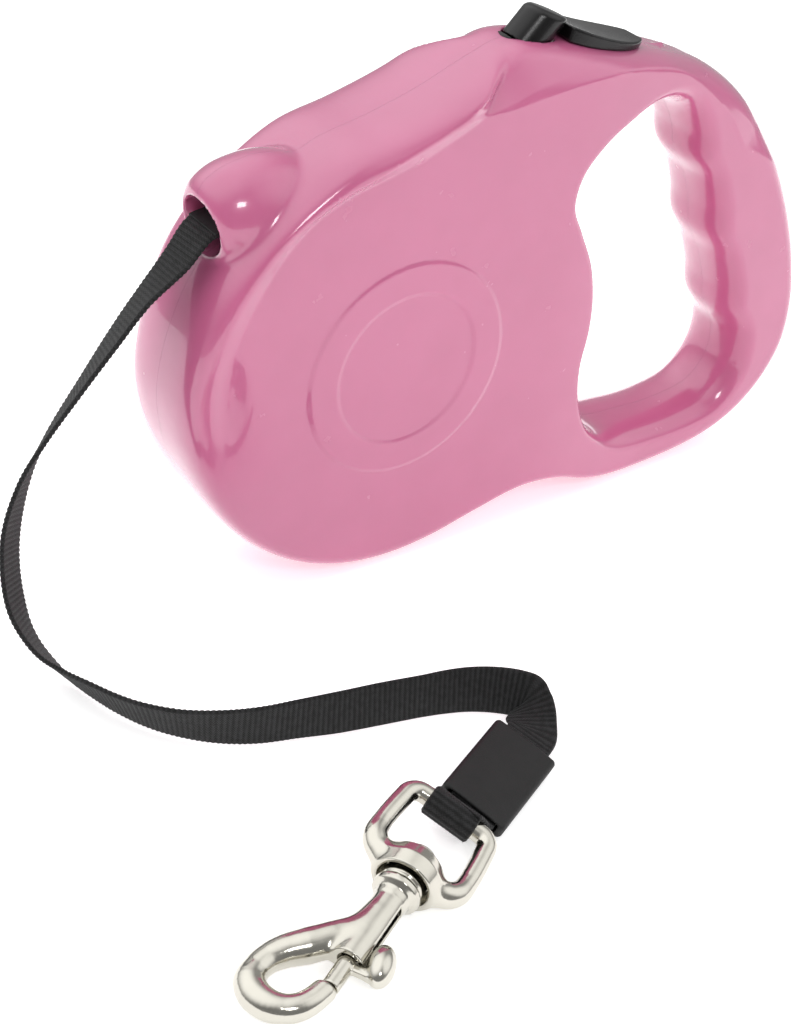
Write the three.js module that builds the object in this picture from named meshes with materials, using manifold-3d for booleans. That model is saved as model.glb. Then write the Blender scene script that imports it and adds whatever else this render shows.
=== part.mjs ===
// Retractable tape leash: two-shell case with a D-shaped grip, a sprung tape reel inside,
// a thumb brake with its lock, and a swivelling bolt snap at the end of the free tape.
// Millimetres, +Z up. The case stands on its lower edge: X runs from nozzle to grip, Y through
// the thickness, and the origin is at the middle of the case's base.
import * as THREE from 'three';
import { mergeVertices } from 'three/addons/utils/BufferGeometryUtils.js';
import Module from 'manifold-3d';

const wasm = await Module();
wasm.setup();

// ---- driving dimensions -------------------------------------------------------------------
const HUB = { x: -34.27, z: 48.8 };   // reel centre, from the origin
const BODY_HALF = 14;                 // half thickness of the drum part of the case
const GRIP_HALF = 10.5;               // half thickness of the grip
const WALL = 2.2;
const SEAM = 0.15;                    // each shell stops this far from the middle plane
const GAP = 0.3;                      // between neighbouring pieces
const RING_OUTER = 24;                // raised ring on each face
const RING_INNER = 17;
const RING_RISE = 0.5;

const TAPE_WIDTH = 10;
const TAPE_THICK = 1;
const SPOOL_R = 40.5;                 // flange radius at the roots of the brake teeth
const TOOTH_TIP_R = 43.5;
const TEETH = 12;
const PAWL_ANGLE = 1.28;              // where the pressed pawl meets the teeth, radians from +X
const DRUM_R = 26;
const ROLL_R = 39.3;                  // outside of the tape wound on the drum
const FLANGE_IN = 5.8;                // inner face of each flange, from the middle plane
const FLANGE_OUT = 7.2;
const SPRING_ROOM_R = 22;
const AXLE_R = 4;

const NOZZLE = { x: -42.6, z: 35.3, rise: 10 };   // mouth centre from the hub, axis rise in degrees
const BUTTON = { x: 32.4, z: 62.3, lean: 43.5 };  // base centre from the hub, lean in degrees
const BUTTON_R = 4.3;
const STEM_R = 2;
const SHELF_TOP = -13.3;              // the brake spring's seat, along the button's axis
const LOCK = { x: 39.4, z: 63.2, slope: -15 };    // lower end of the thumb pad, slope in degrees
const SCREWS = [[-5, 46.8, BODY_HALF], [36, 46, BODY_HALF], [88, 37, GRIP_HALF],
  [108, -32, GRIP_HALF], [50, -35.5, GRIP_HALF]];   // x, z, half thickness of the case there

// The tape's end on the ground: position, turn about Z, dip towards the ground, roll; degrees.
const SLEEVE = { x: -58.2, y: -85.0, z: 4.4, turn: 206.2, length: 25, width: 14.4, thick: 3.6 };
const SNAP = { x: -73.8, y: -91, z: 7.2, turn: 207.8, dip: 4.4, roll: -20 };
const BARREL_R = 3.1;
const BARREL_END = 41.4;              // along the snap's axis, from the eye's bar
const BORE_R = 1.95;
const BORE_START = 22;
const BOLT_R = 1.6;

// ---- materials ----------------------------------------------------------------------------
function paint(color, roughness, metalness = 0) {
  return new THREE.MeshStandardMaterial({ color, roughness, metalness });
}
const PINK = paint(0xd987ab, 0.25);
const BLACK = paint(0x28262a, 0.4);
const WEBBING = paint(0x242426, 0.9);
const NYLON = paint(0xd8d8d4, 0.5);
const STEEL = paint(0xb8b8b8, 0.35, 1);
const NICKEL = paint(0xcfcac2, 0.15, 1);

// ---- solids -------------------------------------------------------------------------------
function solid(geometry) {
  const bare = geometry.clone();
  bare.deleteAttribute('normal');
  bare.deleteAttribute('uv');
  const merged = mergeVertices(bare, 1e-4);
  const corners = merged.index.array;
  const kept = [];
  for (let i = 0; i < corners.length; i += 3) {
    const [a, b, c] = corners.slice(i, i + 3);
    if (a !== b && b !== c && c !== a) kept.push(a, b, c);
  }
  return new wasm.Manifold(new wasm.Mesh({
    numProp: 3,
    vertProperties: new Float32Array(merged.attributes.position.array),
    triVerts: new Uint32Array(kept),
  }));
}

function geometryOf(manifold) {
  const data = manifold.getMesh();
  const geometry = new THREE.BufferGeometry();
  geometry.setAttribute('position', new THREE.BufferAttribute(data.vertProperties, 3));
  geometry.setIndex(new THREE.BufferAttribute(data.triVerts, 1));
  return geometry;
}

function union(...solids) {
  return solids.reduce((joined, next) => joined.add(next));
}

function smoothLoop(points, count) {
  const knots = points.map(([x, y]) => new THREE.Vector3(x, y, 0));
  const curve = new THREE.CatmullRomCurve3(knots, true, 'centripetal');
  return curve.getSpacedPoints(count).slice(0, -1).map((p) => new THREE.Vector2(p.x, p.y));
}

// Moves every point of a counter-clockwise loop outwards along the loop's normal.
function offsetLoop(points, distance) {
  return points.map((point, i) => {
    const before = points[(i + points.length - 1) % points.length];
    const after = points[(i + 1) % points.length];
    const along = after.clone().sub(before).normalize();
    return new THREE.Vector2(point.x + along.y * distance, point.y - along.x * distance);
  });
}

// A plate whose outline lies in X-Z and whose thickness runs from -half to +half in Y.
// round = [inset, depth] of the quarter-ellipse edge; shrink moves the whole outline inwards.
function plate(outline, half, { round = null, hole = null, shrink = 0, rings = 2 } = {}) {
  const shape = new THREE.Shape(outline);
  if (hole) shape.holes.push(new THREE.Path(hole));
  const [inset, depth] = round ?? [0, 0];
  const geometry = new THREE.ExtrudeGeometry(shape, {
    depth: 2 * (half - depth), bevelEnabled: Boolean(round), bevelSegments: rings,
    bevelSize: inset, bevelThickness: depth, bevelOffset: -inset - shrink,
  });
  return geometry.translate(0, 0, depth - half).rotateX(Math.PI / 2);
}

function box(x0, x1, y0, y1, z0, z1) {
  return new THREE.BoxGeometry(x1 - x0, y1 - y0, z1 - z0)
    .translate((x0 + x1) / 2, (y0 + y1) / 2, (z0 + z1) / 2);
}

// Turned piece about Y: profile is a closed loop, or runs from axis to axis, of [radius, y].
function turnedY(profile, sides, x = 0, z = 0) {
  const closed = profile[0][0] > 0 ? [...profile, profile[0]] : profile;
  const points = closed.map(([r, y]) => new THREE.Vector2(r, y));
  return new THREE.LatheGeometry(points, sides).translate(x, 0, z);
}

// The same about X, for pieces along the snap's axis.
function turnedX(profile, sides) {
  return turnedY(profile, sides).rotateZ(-Math.PI / 2);
}

function coil(radius, wire, from, to, turns) {
  class Helix extends THREE.Curve {
    getPoint(t, target = new THREE.Vector3()) {
      const angle = 2 * Math.PI * turns * t;
      return target.set(radius * Math.cos(angle), from + (to - from) * t, radius * Math.sin(angle));
    }
  }
  const section = new THREE.Shape(new THREE.EllipseCurve(0, 0, wire, wire).getPoints(6).slice(0, -1));
  return new THREE.ExtrudeGeometry(section, { extrudePath: new Helix(), steps: turns * 8 });
}

const pieces = new THREE.Group();

function add(name, shape, material, parent = pieces) {
  const geometry = shape.isBufferGeometry ? shape : geometryOf(shape);
  const mesh = new THREE.Mesh(geometry, material);
  mesh.name = name;
  parent.add(mesh);
  return mesh;
}

function group(parent, x, y, z) {
  const node = new THREE.Group();
  node.position.set(x, y, z);
  parent.add(node);
  return node;
}

const caseGroup = group(pieces, HUB.x, 0, HUB.z);   // everything in the case is placed from the hub

// ---- case ---------------------------------------------------------------------------------
const LEFT_SIDE = [[26, 63], [16, 59.8], [6, 55.6], [-6, 51.8], [-18, 48.7], [-27, 43.6],
  [-36, 36.2], [-44, 26], [-49, 14.5], [-51.2, 3], [-50.3, -7], [-47, -17], [-41, -27.5],
  [-33, -36.5], [-23, -43.5], [-12, -47.6], [0, -49], [12, -47.8], [25, -43.8], [37, -41.5]];

function caseOutline() {
  return smoothLoop([...LEFT_SIDE, [47, -42.7], [58, -46.5], [72, -48.6], [86, -49], [97, -46.9],
    [107, -42], [114.5, -34.5], [119, -25], [119.6, -14], [117.4, -3], [113.5, 8], [108, 19.5],
    [101, 31], [92, 42.5], [80, 50.6], [67, 55.2], [52, 58.4], [38, 61.6]], 64);
}

function drumOutline() {
  return smoothLoop([...LEFT_SIDE, [47, -42.3], [54, -37], [57, -22], [57, 0], [57, 20], [60, 38],
    [66, 46], [64, 53.5], [52, 58.2], [38, 61.5]], 52);
}

function gripHole() {
  return smoothLoop([[61, 46.5], [52, 44], [45.8, 39.8], [41.6, 34.5], [40.6, 28], [43.6, 21.5],
    [47.8, 13], [50, 4], [50.3, -4], [49.2, -13], [50.4, -22], [54.5, -30.5], [62, -35.5],
    [74, -36.8], [88, -36.6], [97, -34.2], [101.4, -28], [101.2, -20], [97, -13], [95.2, -6],
    [91.6, 2.5], [87.6, 9], [85.8, 16], [82.6, 23.5], [78.6, 29], [76.4, 36], [71, 43.5]], 48);
}

function nozzleBulb() {
  const profile = [[0, -27], [4.6, -25], [8.6, -20], [10.6, -14], [10.8, -9], [10, -4], [8.8, -1],
    [7.2, 0], [0, 0]];
  return turnedX(profile, 20);
}

// Moves a piece drawn with its mouth at the origin, opening towards +X, onto the nozzle.
function onNozzle(geometry) {
  return geometry.rotateY(Math.PI - THREE.MathUtils.degToRad(NOZZLE.rise))
    .translate(NOZZLE.x, 0, NOZZLE.z);
}

// Places a piece drawn along +Y (its base at the origin) along the button's leaning axis.
function onButton(geometry) {
  return geometry.rotateX(Math.PI / 2).rotateY(THREE.MathUtils.degToRad(BUTTON.lean))
    .translate(BUTTON.x, 0, BUTTON.z);
}

function screwPost([x, z, half]) {
  const end = half - 1;
  return solid(turnedY([[0, -end], [2.7, -end], [2.7, end], [0, end]], 12, x, z));
}

function screwBore([x, z, half]) {
  const depth = half - 2.2;
  return solid(turnedY([[0, -depth], [1.5, -depth], [1.5, half - 2.4], [2.6, half - 2.4],
    [2.6, half + 1], [0, half + 1]], 12, x, z));
}

// Closed cylinder about the button's axis.
function buttonRod(radius, from, to, sides = 20) {
  return solid(onButton(turnedY([[0, from], [radius, from], [radius, to], [0, to]], sides)));
}

function caseOutside() {
  const hole = gripHole();
  const grip = solid(plate(caseOutline(), GRIP_HALF, { round: [4.2, 6], hole }));
  const drum = solid(plate(drumOutline(), BODY_HALF, { round: [3, 5] }));
  const holeCut = solid(plate(hole, BODY_HALF + 1));
  const face = BODY_HALF + RING_RISE;
  const ring = solid(turnedY([[RING_INNER, -face], [RING_OUTER, -face], [RING_OUTER, face],
    [RING_INNER, face]], 36));
  const belowBase = solid(box(-100, 200, -50, 50, -HUB.z - 20, -HUB.z));
  return union(grip, drum.subtract(holeCut), solid(onNozzle(nozzleBulb())), ring).subtract(belowBase);
}

function caseInside() {
  const hole = gripHole();
  const drumRoom = solid(plate(drumOutline(), BODY_HALF - WALL,
    { round: [2, 3], shrink: WALL, rings: 1 }));
  const fence = solid(plate(offsetLoop(hole, WALL), BODY_HALF));
  const gripRoom = solid(plate(caseOutline(), GRIP_HALF - WALL,
    { round: [1.6, 3], hole, shrink: WALL, rings: 1 }));
  const flangeRoom = buttonRod(5.9, SHELF_TOP, -2.9);
  return union(drumRoom.subtract(fence), gripRoom, flangeRoom);
}

function caseBosses() {
  const bossAt = (from, to) => solid(turnedY([[AXLE_R + GAP, from], [8, from], [8, to],
    [AXLE_R + GAP, to]], 24));
  const shelf = solid(onButton(box(-7, 7, SHELF_TOP - 2.2, SHELF_TOP, -12.5, 12.5)));
  const stemWay = buttonRod(STEM_R + GAP + 0.1, -29, -4, 12);
  return union(...SCREWS.map(screwPost), bossAt(-12.5, -7.6), bossAt(7.6, 12.5),
    shelf.subtract(stemWay));
}

function caseBody() {
  const outside = caseOutside();
  const channel = solid(onNozzle(box(-26, 1, -6.2, 6.2, -3.2, 3.2)));
  const throat = solid(onNozzle(turnedX([[0, -5], [4.2, -5], [6.4, 0.2], [6.4, 2], [0, 2]], 20)
    .scale(1, 1.05, 0.86)));
  const capWay = buttonRod(BUTTON_R + GAP, -3.2, 6);
  const lockSlot = solid(box(45.2, 55.4, -2.3, 2.3, 50, 64));
  return outside.subtract(caseInside()).add(caseBosses().intersect(outside))
    .subtract(union(channel, throat, capWay, lockSlot, ...SCREWS.map(screwBore)));
}

function addShells() {
  const body = caseBody();
  const reach = 200;
  const nearSide = solid(box(-reach, reach, -reach, -SEAM, -reach, reach));
  const farSide = solid(box(-reach, reach, SEAM, reach, -reach, reach));
  add('near_shell', body.intersect(nearSide), PINK, caseGroup);
  add('far_shell', body.intersect(farSide), PINK, caseGroup);
}

function addScrews() {
  SCREWS.forEach(([x, z, half], index) => {
    const tip = -(half - 3);
    const screw = turnedY([[0, tip], [1.2, tip + 1], [1.2, half - 2.1], [2.3, half - 2.1],
      [2.3, half - 0.7], [0, half - 0.7]], 12, x, z);
    const slot = solid(box(x - 1.7, x + 1.7, half - 1.3, half, z - 0.3, z + 0.3));
    add(`case_screw_${index + 1}`, solid(screw).subtract(slot), STEEL, caseGroup);
  });
}

// ---- reel ---------------------------------------------------------------------------------
function addReel() {
  const spool = solid(turnedY([[AXLE_R + GAP, -FLANGE_OUT], [TOOTH_TIP_R, -FLANGE_OUT],
    [TOOTH_TIP_R, -FLANGE_IN], [DRUM_R, -FLANGE_IN], [DRUM_R, FLANGE_IN], [TOOTH_TIP_R, FLANGE_IN],
    [TOOTH_TIP_R, FLANGE_OUT], [SPRING_ROOM_R, FLANGE_OUT], [SPRING_ROOM_R, -FLANGE_IN + 0.4],
    [AXLE_R + GAP, -FLANGE_IN + 0.4]], 48));
  const gullets = [];
  for (let i = 0; i < TEETH; i += 1) {
    const angle = PAWL_ANGLE + (i * 2 * Math.PI) / TEETH;
    gullets.push(solid(box(SPOOL_R, SPOOL_R + 6, -9, 9, -6, 6).rotateY(-angle)));
  }
  add('reel', spool.subtract(union(...gullets)), NYLON, caseGroup);
  const coverRim = SPRING_ROOM_R - GAP;
  add('spring_cover', turnedY([[AXLE_R + GAP, FLANGE_IN], [coverRim, FLANGE_IN], [coverRim, FLANGE_OUT],
    [AXLE_R + GAP, FLANGE_OUT]], 36), NYLON, caseGroup);
  add('tape_roll', turnedY([[DRUM_R + GAP, -TAPE_WIDTH / 2], [ROLL_R, -TAPE_WIDTH / 2],
    [ROLL_R, TAPE_WIDTH / 2], [DRUM_R + GAP, TAPE_WIDTH / 2]], 40), WEBBING, caseGroup);
  const axle = turnedY([[0, -11.4], [AXLE_R, -11.4], [AXLE_R, 11.4], [0, 11.4]], 24);
  add('axle_post', axle, STEEL, caseGroup);
}

// Flat clock spring between the axle and the drum's inner wall.
function addMainspring() {
  const turns = 7;
  const steps = turns * 16;
  const band = 0.8;
  const inner = AXLE_R + GAP + 0.2;
  const outer = SPRING_ROOM_R - 0.5 - band;
  const inward = [];
  const outward = [];
  for (let i = 0; i <= steps; i += 1) {
    const angle = (2 * Math.PI * turns * i) / steps;
    const radius = inner + ((outer - inner) * i) / steps;
    const ray = new THREE.Vector2(Math.cos(angle), Math.sin(angle));
    inward.push(ray.clone().multiplyScalar(radius));
    outward.push(ray.multiplyScalar(radius + band));
  }
  add('mainspring', plate([...inward, ...outward.reverse()], 4.6), STEEL, caseGroup);
}

// ---- tape inside the case -----------------------------------------------------------------
function addInnerTape() {
  const half = TAPE_THICK / 2;
  const top = ROLL_R + GAP + half;
  const run = [[-3, top], [-16, top - 0.6], [-27, 38], [-33.5, 36.9], [-42.1, 35.3]];
  const upper = run.map(([x, z]) => new THREE.Vector2(x, z + half));
  const lower = run.map(([x, z]) => new THREE.Vector2(x, z - half)).reverse();
  add('inner_tape', plate([...upper, ...lower], TAPE_WIDTH / 2), WEBBING, caseGroup);
}

function addMouthGuide() {
  const frame = solid(box(-7.6, -5.4, -5.9, 5.9, -2.9, 2.9));
  const slot = solid(box(-9, -4, -5.3, 5.3, -1.1, 1.1));
  add('mouth_guide', solid(onNozzle(geometryOf(frame.subtract(slot)))), BLACK, caseGroup);
}

// ---- brake and lock -----------------------------------------------------------------------
function addBrake() {
  const cap = solid(onButton(turnedY([[0, -3], [BUTTON_R, -3], [BUTTON_R, 5.8], [3.9, 6.6],
    [0, 6.8]], 20)));
  const flange = buttonRod(5.4, -4.9, -3.4).add(buttonRod(BUTTON_R, -3.4, -2.9));
  const stem = buttonRod(STEM_R, -27.3, -4, 12);
  const pawl = solid(onButton(box(-1.5, 1.5, -27.7, -25, -8, 8)));
  add('brake_button', union(cap, flange, stem, pawl), BLACK, caseGroup);
  add('brake_spring', onButton(coil(3.4, 0.35, SHELF_TOP + 0.5, -5.4, 5)), STEEL, caseGroup);
}

// Thumb pad: a dished side profile cut to a leaf-shaped plan, on a stem through the case's slot.
function addLock() {
  const side = new THREE.Shape();
  side.moveTo(0, 0.2);
  side.quadraticCurveTo(11, -2.6, 22.5, -0.2);
  side.lineTo(22.6, 1.2);
  side.quadraticCurveTo(11, 0, 0.4, 3.2);
  side.closePath();
  const leaf = new THREE.Shape();
  leaf.moveTo(-0.5, -4);
  leaf.quadraticCurveTo(10, -7.2, 23, -2);
  leaf.lineTo(23, 2);
  leaf.quadraticCurveTo(10, 7.2, -0.5, 4);
  leaf.closePath();
  const extruded = (shape, depth) => new THREE.ExtrudeGeometry(shape,
    { depth, bevelEnabled: false, curveSegments: 8 }).translate(0, 0, -depth / 2);
  const dished = solid(extruded(side, 11).rotateX(Math.PI / 2));
  const pad = geometryOf(dished.intersect(solid(extruded(leaf, 12))));
  pad.rotateY(THREE.MathUtils.degToRad(-LOCK.slope)).translate(LOCK.x, 0, LOCK.z);
  const stem = solid(box(46.2, 51.6, -2, 2, 53, 60.2));
  const foot = solid(box(45.6, 53, -4, 4, 52.2, 53.6));
  add('lock_slider', union(solid(pad), stem, foot), BLACK, caseGroup);
}

// ---- free tape ----------------------------------------------------------------------------
// Centre of the tape and the direction across its width, from the nozzle to the sleeve.
const ROUTE = [
  [[-76.9, 0, 83.6], [0, 1, 0]],
  [[-84.6, 0, 76.2], [0, 1, 0]],
  [[-93.6, 0, 67.7], [0.12, 0.98, -0.1]],
  [[-102.8, 0, 56], [0.35, 0.9, -0.22]],
  [[-109.8, -0.3, 43.4], [0.63, 0.68, -0.37]],
  [[-115.6, -1.6, 32.6], [0.76, 0.55, -0.36]],
  [[-119.8, -4.5, 23.3], [0.8, 0.48, -0.3]],
  [[-120.4, -8.5, 14.5], [0.8, 0.45, -0.4]],
  [[-118.6, -13.5, 8.2], [0.75, 0.4, -0.5]],
  [[-115.5, -19, 5.4], [0.69, 0.33, -0.64]],
  [[-111.8, -27.5, 5.3], [0.6, 0.25, -0.75]],
  [[-108, -35.6, 5.4], [0.45, 0.2, -0.87]],
  [[-101.5, -44.8, 5.4], [0.25, 0.12, -0.96]],
  [[-92.3, -50.6, 5.4], [0.05, 0.03, -1]],
  [[-83, -53.8, 5.4], [0, 0, -1]],
  [[-72.2, -56.5, 5.4], [0, 0, -1]],
  [[-60.8, -59, 5.4], [0, -0.1, -1]],
  [[-48.6, -62.4, 5.4], [-0.03, -0.2, -1]],
  [[-39.5, -65, 5.6], [-0.05, -0.35, -0.94]],
  [[-34.3, -68.8, 5.9], [0.2, -0.6, -0.77]],
  [[-35.4, -73.4, 5.5], [0.38, -0.75, -0.54]],
  [[-39.8, -76.4, 4.9], [0.42, -0.82, -0.4]],
  [[-46.5, -79.3, 4.4], [0.415, -0.845, -0.34]],
];

// A flat strip along a route, turned so that its width follows the given directions.
function strip(route, width, thick, steps) {
  const path = new THREE.CatmullRomCurve3(route.map(([at]) => new THREE.Vector3(...at)));
  const across = new THREE.CatmullRomCurve3(route.map(([, dir]) => new THREE.Vector3(...dir)));
  path.computeFrenetFrames = (segments) => {
    const frames = { tangents: [], normals: [], binormals: [] };
    for (let i = 0; i <= segments; i += 1) {
      const t = path.getUtoTmapping(i / segments);
      const tangent = path.getTangent(t);
      const normal = across.getPoint(t).addScaledVector(tangent, -across.getPoint(t).dot(tangent));
      frames.tangents.push(tangent);
      frames.normals.push(normal.normalize());
      frames.binormals.push(new THREE.Vector3().crossVectors(tangent, normal));
    }
    return frames;
  };
  const w = width / 2;
  const t = thick / 2;
  const section = new THREE.Shape([[w, -t / 2], [w, t / 2], [w - t, t], [t - w, t], [-w, t / 2],
    [-w, -t / 2], [t - w, -t], [w - t, -t]].map(([x, y]) => new THREE.Vector2(x, y)));
  return new THREE.ExtrudeGeometry(section, { extrudePath: path, steps });
}

function addFreeTape() {
  add('free_tape', strip(ROUTE, TAPE_WIDTH, TAPE_THICK, 66), WEBBING);
}

// Group whose +X runs along the tape towards the snap, rolled about that axis.
function tapeEndGroup({ x, y, z, turn, roll = SNAP.roll, dip = 0 }) {
  const turned = group(pieces, x, y, z);
  turned.rotation.z = THREE.MathUtils.degToRad(turn);
  const dipped = group(turned, 0, 0, 0);
  dipped.rotation.y = THREE.MathUtils.degToRad(dip);
  const rolled = group(dipped, 0, 0, 0);
  rolled.rotation.x = THREE.MathUtils.degToRad(roll);
  return { flat: dipped, rolled };
}

// Soft sleeve round the crimp: a plate with rounded corners and a small chamfer.
function addSleeve() {
  const { length, width, thick } = SLEEVE;
  const outline = new THREE.Shape();
  const r = 1.6;
  const a = length / 2;
  const b = width / 2;
  outline.moveTo(r - a, -b);
  outline.absarc(a - r, r - b, r, -Math.PI / 2, 0);
  outline.absarc(a - r, b - r, r, 0, Math.PI / 2);
  outline.absarc(r - a, b - r, r, Math.PI / 2, Math.PI);
  outline.absarc(r - a, r - b, r, Math.PI, 1.5 * Math.PI);
  const chamfer = 0.5;
  const flat = thick - 2 * chamfer;
  const body = new THREE.ExtrudeGeometry(outline, { depth: flat, curveSegments: 4, bevelSegments: 1,
    bevelSize: chamfer, bevelThickness: chamfer, bevelOffset: -chamfer }).translate(0, 0, -flat / 2);
  add('crimp_sleeve', body, BLACK, tapeEndGroup(SLEEVE).rolled);
}

// Webbing folded round the eye's bar; its two tails meet the sleeve.
function addEndLoop(rolled) {
  const inner = 2.55;
  const outer = inner + TAPE_THICK;
  const tail = -3.4;
  const fold = new THREE.Shape();
  fold.moveTo(tail, outer);
  fold.lineTo(0, outer);
  fold.absarc(0, 0, outer, Math.PI / 2, -Math.PI / 2, true);
  fold.lineTo(tail, -outer);
  fold.lineTo(tail, -inner);
  fold.lineTo(0, -inner);
  fold.absarc(0, 0, inner, -Math.PI / 2, Math.PI / 2, false);
  fold.lineTo(tail, inner);
  const webbing = new THREE.ExtrudeGeometry(fold,
    { depth: TAPE_WIDTH, bevelEnabled: false, curveSegments: 12 })
    .translate(0, 0, -TAPE_WIDTH / 2).rotateX(Math.PI / 2);
  add('end_loop', webbing, WEBBING, rolled);
}

// ---- bolt snap ----------------------------------------------------------------------------
// Closed cylinder along the snap's axis.
function snapRod(radius, from, to, sides = 16) {
  return solid(turnedX([[0, from], [radius, from], [radius, to], [0, to]], sides));
}

function eyeSolid() {
  const rim = smoothLoop([[-2, 0], [-2, -6], [-1.2, -9.6], [2.4, -11.2], [9, -11.2], [13.5, -9.6],
    [17, -6.4], [18.6, -3], [18.6, 3], [17, 6.4], [13.5, 9.6], [9, 11.2], [2.4, 11.2], [-1.2, 9.6],
    [-2, 6]], 32);
  const room = smoothLoop([[2, 0], [2, -5.2], [3.4, -6.9], [9, -7.1], [11.3, -5.4], [11.9, -2.5],
    [11.9, 2.5], [11.3, 5.4], [9, 7.1], [3.4, 6.9], [2, 5.2]], 24);
  const shape = new THREE.Shape(rim);
  shape.holes.push(new THREE.Path(room));
  const band = new THREE.ExtrudeGeometry(shape, { depth: 1.4, bevelEnabled: true, bevelSize: 1.2,
    bevelThickness: 1.2, bevelOffset: -1.2, bevelSegments: 2 }).translate(0, 0, -0.7);
  const cup = turnedX([[0, 12.2], [3.4, 12.2], [5.2, 14], [5.7, 16.5], [5.7, 19.4], [0, 19.4]], 20);
  const skirtRoom = snapRod(4.9, 15.4, 20);
  const bore = snapRod(2.3, 11, 16);
  const headRoom = snapRod(4.3, 9.8, 12.5);
  return solid(band).add(solid(cup)).subtract(union(skirtRoom, bore, headRoom));
}

// Swivel head, stem, collar and barrel in one, with the hook bent out of the barrel's side.
function snapBodySolid() {
  const barrel = solid(turnedX([[0, 10.2], [3.6, 10.2], [3.6, 12], [2, 12], [2, 15.8], [4.5, 15.8],
    [4.5, 20.4], [3.5, 21.4], [BARREL_R, 23], [BARREL_R, BARREL_END], [0, BARREL_END]], 20));
  const bend = [[31, -0.6], [35.5, -2.4], [40, -7.3], [45, -11.2], [50, -12.4], [54.3, -10.3],
    [56.2, -5.6], [54.6, -1.6], [51.4, -0.1], [48.8, 0]];
  const path = new THREE.CatmullRomCurve3(bend.map(([x, y]) => new THREE.Vector3(x, y, 0)));
  const section = new THREE.Shape(new THREE.EllipseCurve(0, 0, 2.6, 2.6).getPoints(10).slice(0, -1));
  const hook = solid(new THREE.ExtrudeGeometry(section, { extrudePath: path, steps: 26 }));
  const slot = solid(box(29.5, 44, 0, 4, -1.15, 1.15));
  return union(barrel, hook).subtract(union(snapRod(BORE_R, BORE_START, 44, 14), slot));
}

function boltSolid() {
  const stalk = solid(box(39.4, 41, 0.5, 4, -0.8, 0.8));
  const knob = solid(new THREE.SphereGeometry(2.4, 14, 10).scale(1.55, 0.85, 1).translate(39.4, 5.4, 0));
  return union(snapRod(BOLT_R, 34, 48.4, 14), stalk, knob);
}

function addSnap() {
  const { flat, rolled } = tapeEndGroup(SNAP);
  addEndLoop(rolled);
  add('snap_eye', eyeSolid(), NICKEL, rolled);
  add('snap_body', snapBodySolid(), NICKEL, flat);
  add('snap_bolt', boltSolid(), NICKEL, flat);
  const spring = coil(1.25, 0.25, BORE_START + 0.6, 33.4, 6).rotateZ(-Math.PI / 2);
  add('bolt_spring', spring, STEEL, flat);
}

addShells();
addScrews();
addReel();
addMainspring();
addInnerTape();
addMouthGuide();
addBrake();
addLock();
addFreeTape();
addSleeve();
addSnap();

export default pieces;
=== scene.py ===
"""Looks of the retractable leash: moulded case, webbing tape, sleeve and bolt snap.

Lengths in the shape code are millimetres and become metres in make_mesh. The case is drawn from
the reel's hub: x towards the grip, y through the thickness, z up.
"""

import itertools
import math

import bmesh
import bpy
import numpy as np
from mathutils import Matrix, Vector
from mathutils.geometry import delaunay_2d_cdt


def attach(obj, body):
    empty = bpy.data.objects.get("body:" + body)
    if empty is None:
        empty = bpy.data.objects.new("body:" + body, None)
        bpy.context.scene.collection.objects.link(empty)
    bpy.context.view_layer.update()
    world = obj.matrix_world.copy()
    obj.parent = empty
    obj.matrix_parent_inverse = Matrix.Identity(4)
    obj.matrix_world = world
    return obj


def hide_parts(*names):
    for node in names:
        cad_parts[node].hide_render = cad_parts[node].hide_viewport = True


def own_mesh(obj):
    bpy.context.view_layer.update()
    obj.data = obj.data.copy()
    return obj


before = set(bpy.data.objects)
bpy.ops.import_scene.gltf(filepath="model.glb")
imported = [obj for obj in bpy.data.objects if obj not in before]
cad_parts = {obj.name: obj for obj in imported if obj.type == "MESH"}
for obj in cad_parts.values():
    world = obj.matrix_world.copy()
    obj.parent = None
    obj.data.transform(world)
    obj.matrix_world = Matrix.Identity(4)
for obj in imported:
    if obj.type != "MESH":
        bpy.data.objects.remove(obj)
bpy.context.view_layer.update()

MM = 0.001
HUB = np.array((-34.27, 0.0, 48.8))     # the reel's axis, millimetres above the floor
UPRIGHT = np.eye(3)
WORLD = (UPRIGHT, np.zeros(3))          # pieces drawn in the floor's own frame


# ---- camera -------------------------------------------------------------------------------
def add_camera():
    data = bpy.data.cameras.new("camera")
    data.lens = 69.96
    data.sensor_width = 36
    data.clip_start = 0.01
    camera = bpy.data.objects.new("camera", data)
    right = (0.81905, -0.56750, 0.08423)
    up = (0.26180, 0.50033, 0.82530)
    back = (-0.51050, -0.65392, 0.55837)
    camera.matrix_world = Matrix((right, up, back)).transposed().to_4x4()
    camera.location = (-0.252881, -0.294240, 0.252859)
    bpy.context.scene.collection.objects.link(camera)
    bpy.context.scene.camera = camera


add_camera()


# ---- curves -------------------------------------------------------------------------------
def spline(points, closed=False, per=8):
    """Centripetal Catmull-Rom curve through the points, `per` steps between neighbours."""
    pts = np.array(points, float)
    if closed:
        ext = np.vstack((pts[-1:], pts, pts[:2]))
    else:
        ext = np.vstack((2 * pts[:1] - pts[1:2], pts, 2 * pts[-1:] - pts[-2:-1]))
    t = (np.arange(per) / per)[:, None]
    rows = []
    for p0, p1, p2, p3 in zip(ext, ext[1:], ext[2:], ext[3:]):
        d0, d1, d2 = (max(math.sqrt(np.linalg.norm(b - a)), 1e-4) for a, b in
                      ((p0, p1), (p1, p2), (p2, p3)))
        m1 = ((p1 - p0) / d0 - (p2 - p0) / (d0 + d1) + (p2 - p1) / d1) * d1
        m2 = ((p2 - p1) / d1 - (p3 - p1) / (d1 + d2) + (p3 - p2) / d2) * d1
        a = 2 * p1 - 2 * p2 + m1 + m2
        b = -3 * p1 + 3 * p2 - 2 * m1 - m2
        rows.append(((a * t + b) * t + m1) * t + p1)
    if not closed:
        rows.append(pts[-1:])
    return np.vstack(rows)


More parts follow.
